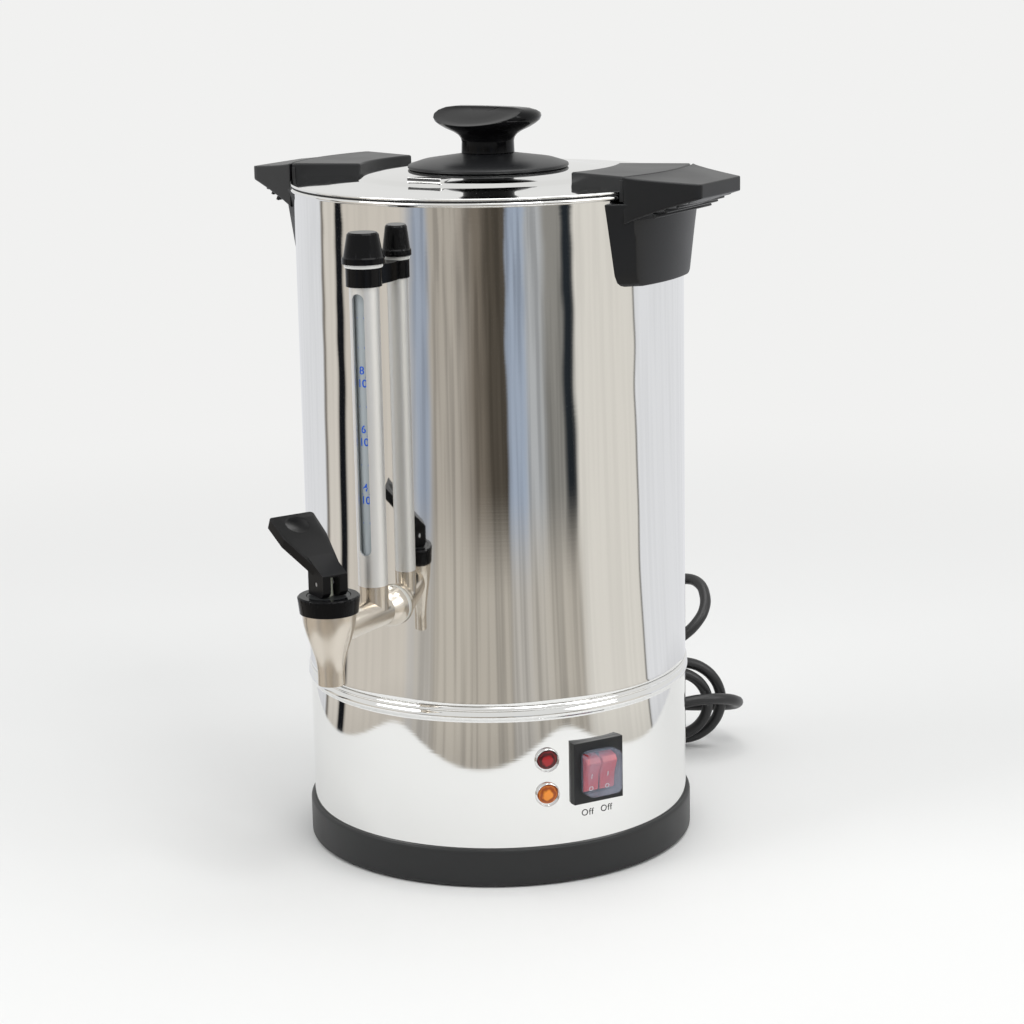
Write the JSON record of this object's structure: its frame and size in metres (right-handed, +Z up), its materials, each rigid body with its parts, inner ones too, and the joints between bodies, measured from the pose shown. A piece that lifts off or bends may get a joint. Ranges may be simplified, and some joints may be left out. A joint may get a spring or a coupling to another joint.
{
  "type": "hot water urn",
  "caption": "Electric hot water urn: steel tank with a lift-off lid, side handles, lever tap, level gauge, rocker switches, pilot lamps and a mains lead.",
  "frame": {"origin": "on the tank axis, in the plane that the feet stand on", "axes": "+Z up, the tap points along -Y, the two handles lie on +X and -X"},
  "size_m": [0.293, 0.4006, 0.4233],
  "materials": {
    "polished_steel": "mirror-polished stainless sheet",
    "base_plastic": "satin black moulding",
    "black_plastic": "black phenolic moulding, low gloss",
    "rubber": "matt rubber",
    "zinc": "zinc-plated steel",
    "galvanised": "galvanised sheet",
    "aluminium": "bare aluminium",
    "element": "annealed heater sheath",
    "ceramic": "unglazed ceramic",
    "wire": "glass-braid sleeve",
    "cord_plastic": "black PVC",
    "tie": "woven strap",
    "nickel": "nickel plate",
    "tap_metal": "chromed brass",
    "silicone": "translucent silicone",
    "stem_plastic": "natural nylon",
    "gauge_metal": "satin stainless tube",
    "clear_glass": "clear borosilicate tube",
    "white_plastic": "white ring",
    "red_plastic": "translucent red rocker",
    "clear_plastic": "clear soft cover",
    "red_lens": "red lamp lens",
    "amber_lens": "amber lamp lens"
  },
  "bodies": {
    "urn": {"base_ring": "base_plastic", "feet": "rubber", "foot_screws": "zinc", "foot_nuts": "zinc", "bottom_plate": "galvanised", "skirt": "polished_steel", "tank": "polished_steel", "heat_spreader": "aluminium", "element_boil": "element", "element_warm": "element", "thermostat": "ceramic", "thermal_cutout": "ceramic", "terminal_block": "ceramic", "wiring": "wire", "strain_relief": "cord_plastic", "cord_lead": "cord_plastic", "cord_hank": "cord_plastic", "cord_tail": "cord_plastic", "cord_tie": "tie", "plug_body": "cord_plastic", "plug_pins": "nickel", "tap_body": "tap_metal", "tap_washer": "silicone", "tap_seal": "silicone", "tap_nut": "tap_metal", "tap_bonnet": "black_plastic", "valve_spring": "zinc", "gauge_guard": "gauge_metal", "gauge_glass": "clear_glass", "gauge_seal_low": "silicone", "gauge_seal_top": "silicone", "gauge_ring": "white_plastic", "gauge_cap": "black_plastic", "gauge_clip": "black_plastic", "clip_screw": "zinc", "handle_right": "black_plastic", "handle_left": "black_plastic", "handle_screws": "zinc", "handle_seals": "silicone", "switch_housing": "black_plastic", "switch_cover": "clear_plastic", "lamp_red": "red_lens", "lamp_amber": "amber_lens", "lamp_bezels": "nickel", "lamp_nuts": "nickel"},
    "lid_ring": {"lid_seal": "rubber"},
    "lid": {"lid": "polished_steel", "lid_lug_right": "black_plastic", "lid_lug_left": "black_plastic", "lug_screws": "zinc", "knob": "black_plastic", "knob_base": "black_plastic", "knob_screw": "zinc"},
    "lever_seat": {"swivel_washer": "black_plastic"},
    "valve": {"valve_stem": "stem_plastic", "valve_cup": "silicone", "lever_pin": "zinc"},
    "lever": {"tap_lever": "black_plastic"},
    "boil_switch": {"rocker_boil": "red_plastic"},
    "warm_switch": {"rocker_warm": "red_plastic"}
  },
  "joints": [
    {"name": "lid_lift", "type": "slide", "parent": "urn", "child": "lid_ring", "axis": [0, 0, 1], "range_m": [0, 0.15]},
    {"name": "lid_turn", "type": "hinge", "parent": "lid_ring", "child": "lid", "pos_m": [0, 0, 0.39], "axis": [0, 0, 1], "range_deg": [0, 30]},
    {"name": "tap_swivel", "type": "hinge", "parent": "urn", "child": "lever_seat", "pos_m": [0, -0.1712, 0.1863], "axis": [0, 0, 1], "range_deg": [-25, 250]},
    {"name": "stem_lift", "type": "slide", "parent": "lever_seat", "child": "valve", "axis": [0, 0, 1], "range_m": [0, 0.0035], "deforming": ["valve_spring"]},
    {"name": "lever_press", "type": "hinge", "parent": "valve", "child": "lever", "pos_m": [0, -0.1712, 0.1863], "axis": [-0.4226, -0.9063, 0], "range_deg": [0, 35], "stiffness_Nm_per_rad": 0.07},
    {"name": "boil_rock", "type": "hinge", "parent": "urn", "child": "boil_switch", "pos_m": [0.08853, -0.0567, 0.0632], "axis": [0.497, 0.8678, 0], "range_deg": [-26, 0]},
    {"name": "warm_rock", "type": "hinge", "parent": "urn", "child": "warm_switch", "pos_m": [0.0937, -0.04767, 0.0632], "axis": [0.497, 0.8678, 0], "range_deg": [-26, 0]}
  ],
  "couplings": [
    {"joint": "stem_lift", "follows": "lever_press", "m_per_rad": 0.0056}
  ]
}
